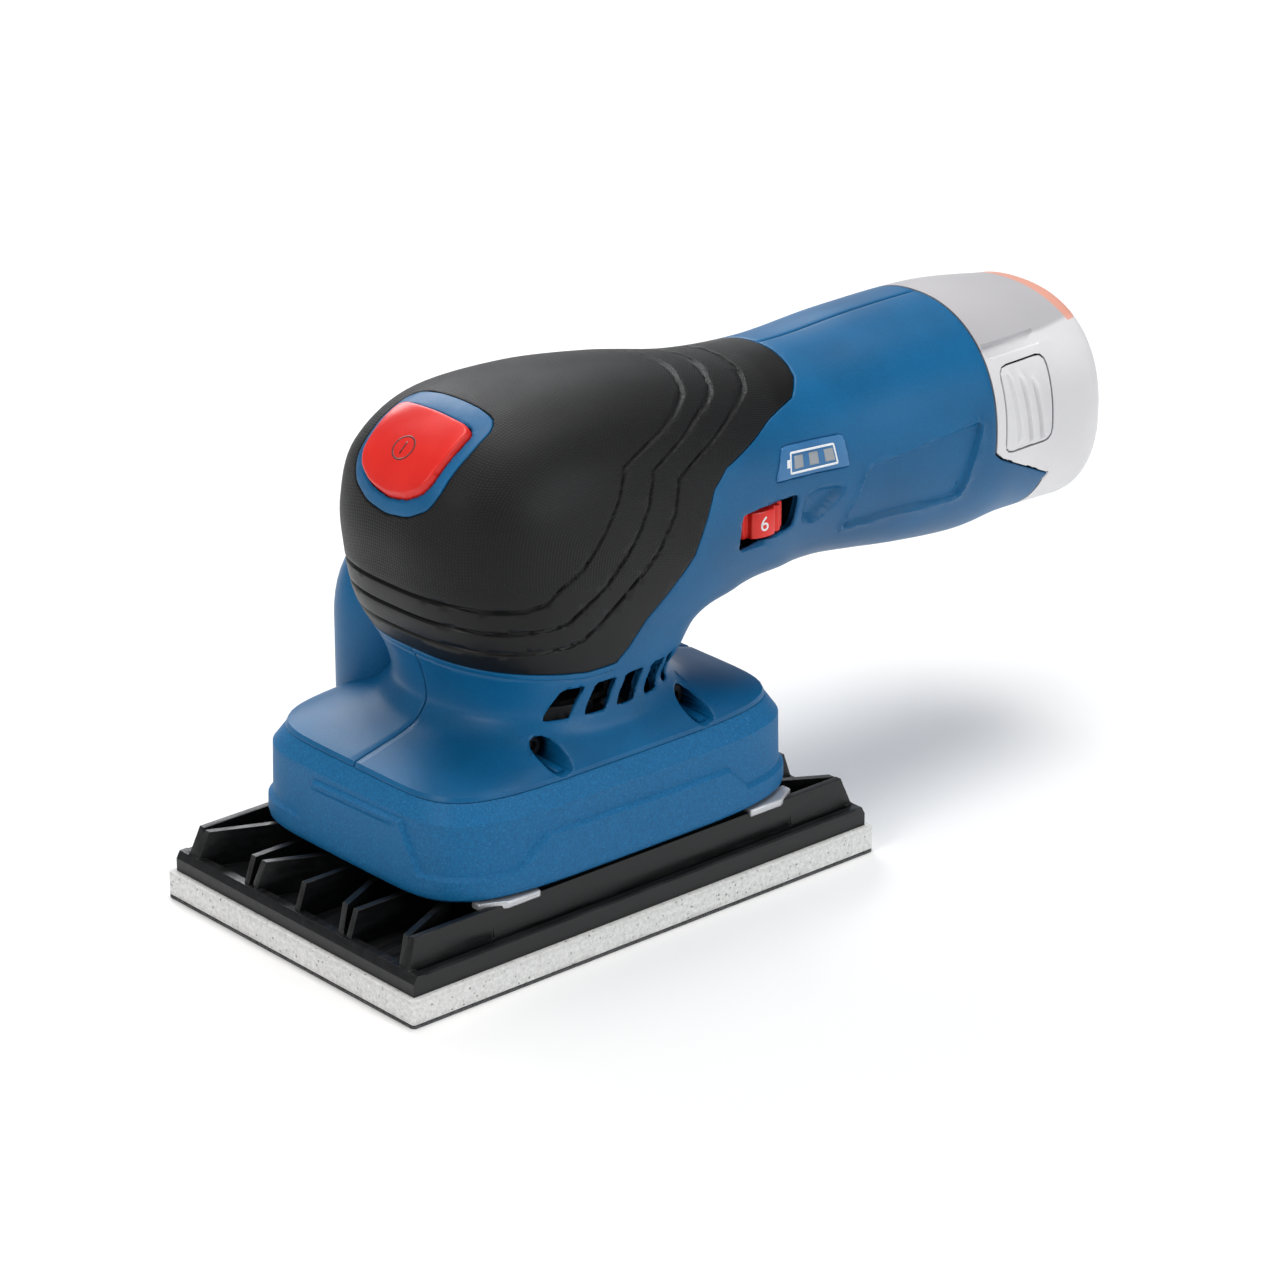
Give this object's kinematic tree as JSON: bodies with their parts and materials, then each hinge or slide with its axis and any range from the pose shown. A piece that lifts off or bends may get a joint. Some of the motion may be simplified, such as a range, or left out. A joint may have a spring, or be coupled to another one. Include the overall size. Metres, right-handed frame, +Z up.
{
  "type": "palm sheet sander",
  "caption": "Battery palm sander with a flat rectangular foam pad on an orbiting plate, a rubber palm grip with a power key, an in-line battery tail and a dust duct.",
  "frame": {"origin": "centre of the sanding pad's working face", "axes": "+X from the nose to the battery, +Z up from the working face, -Y is the side with the speed dial and charge window"},
  "size_m": [0.2115, 0.084, 0.1119],
  "materials": {
    "felt": "matt hook facing",
    "foam": "fine open foam, matt",
    "plate_black": "satin black moulding",
    "steel": "ground",
    "foot_rubber": "matt",
    "screw_steel": "blackened steel",
    "cast_weight": "as cast",
    "laminated_steel": "laminations",
    "copper": "enamelled copper wire",
    "cast_alloy": "die cast",
    "blue_plastic": "fine grain, satin",
    "grip_rubber": "soft overmould with a fine diamond grain",
    "red_plastic": "satin gloss",
    "board": "lacquered",
    "charge_window": "clear gloss over blue",
    "battery_plastic": "pale grey, satin",
    "cell_sleeve": "shrink sleeve"
  },
  "bodies": {
    "housing": {"housing_right": "blue_plastic", "housing_left": "blue_plastic", "skirt": "blue_plastic", "soft_grip": "grip_rubber", "switch_bezel": "blue_plastic", "switch_module": "plate_black", "dust_duct": "blue_plastic", "housing_screw_1": "screw_steel", "housing_screw_2": "screw_steel", "housing_screw_3": "screw_steel", "housing_screw_4": "screw_steel", "housing_screw_5": "screw_steel", "stator_core": "laminated_steel", "winding_lower": "copper", "winding_upper": "copper", "bearing_bridge": "cast_alloy", "top_shield": "cast_alloy", "lower_bearing": "steel", "upper_bearing": "steel", "dial_potentiometer": "plate_black", "control_board": "board", "charge_lens": "charge_window", "terminal_block": "plate_black", "contact_blade_1": "copper", "contact_blade_2": "copper"},
    "rotor": {"motor_shaft": "steel", "rotor_core": "laminated_steel", "cooling_fan": "plate_black", "eccentric_hub": "cast_weight", "counterweight": "cast_weight"},
    "pad": {"hook_facing": "felt", "foam_pad": "foam", "base_plate": "plate_black", "carrier_plate": "steel", "elastic_foot_1": "foot_rubber", "elastic_foot_2": "foot_rubber", "elastic_foot_3": "foot_rubber", "elastic_foot_4": "foot_rubber", "plate_screw_1": "screw_steel", "plate_screw_2": "screw_steel", "plate_screw_3": "screw_steel", "plate_screw_4": "screw_steel", "pad_bearing": "steel"},
    "power_key": {"power_button": "red_plastic"},
    "speed_dial": {"speed_wheel": "red_plastic"},
    "battery": {"battery_stem": "battery_plastic", "battery_cap": "battery_plastic", "battery_cell_1": "cell_sleeve", "battery_cell_2": "cell_sleeve", "battery_cell_3": "cell_sleeve"},
    "latch_near": {"latch_right": "battery_plastic"},
    "latch_far": {"latch_left": "battery_plastic"}
  },
  "joints": [
    {"name": "rotor_spin", "type": "hinge", "parent": "housing", "child": "rotor", "pos_m": [0.003, 0, 0.05], "axis": [0, 0, 1], "continuous": true},
    {"name": "pad_orbit", "type": "hinge", "parent": "rotor", "child": "pad", "pos_m": [0.0038, 0, 0.012], "axis": [0, 0, 1], "continuous": true},
    {"name": "power_press", "type": "slide", "parent": "housing", "child": "power_key", "axis": [0.6307, 0, -0.776], "range_m": [0, 0.0015], "stiffness_N_per_m": 1500},
    {"name": "speed_turn", "type": "hinge", "parent": "housing", "child": "speed_dial", "pos_m": [0.0446, -0.0189, 0.0764], "axis": [0, 0, 1], "range_deg": [-250, 0]},
    {"name": "battery_slide", "type": "slide", "parent": "housing", "child": "battery", "axis": [1, 0, 0], "range_m": [0, 0.06]},
    {"name": "latch_near_press", "type": "slide", "parent": "battery", "child": "latch_near", "axis": [0, 1, 0], "range_m": [0, 0.0014], "stiffness_N_per_m": 1200},
    {"name": "latch_far_press", "type": "slide", "parent": "battery", "child": "latch_far", "axis": [0, -1, 0], "range_m": [0, 0.0014], "stiffness_N_per_m": 1200}
  ],
  "couplings": [
    {"joint": "pad_orbit", "follows": "rotor_spin", "ratio": -1}
  ]
}
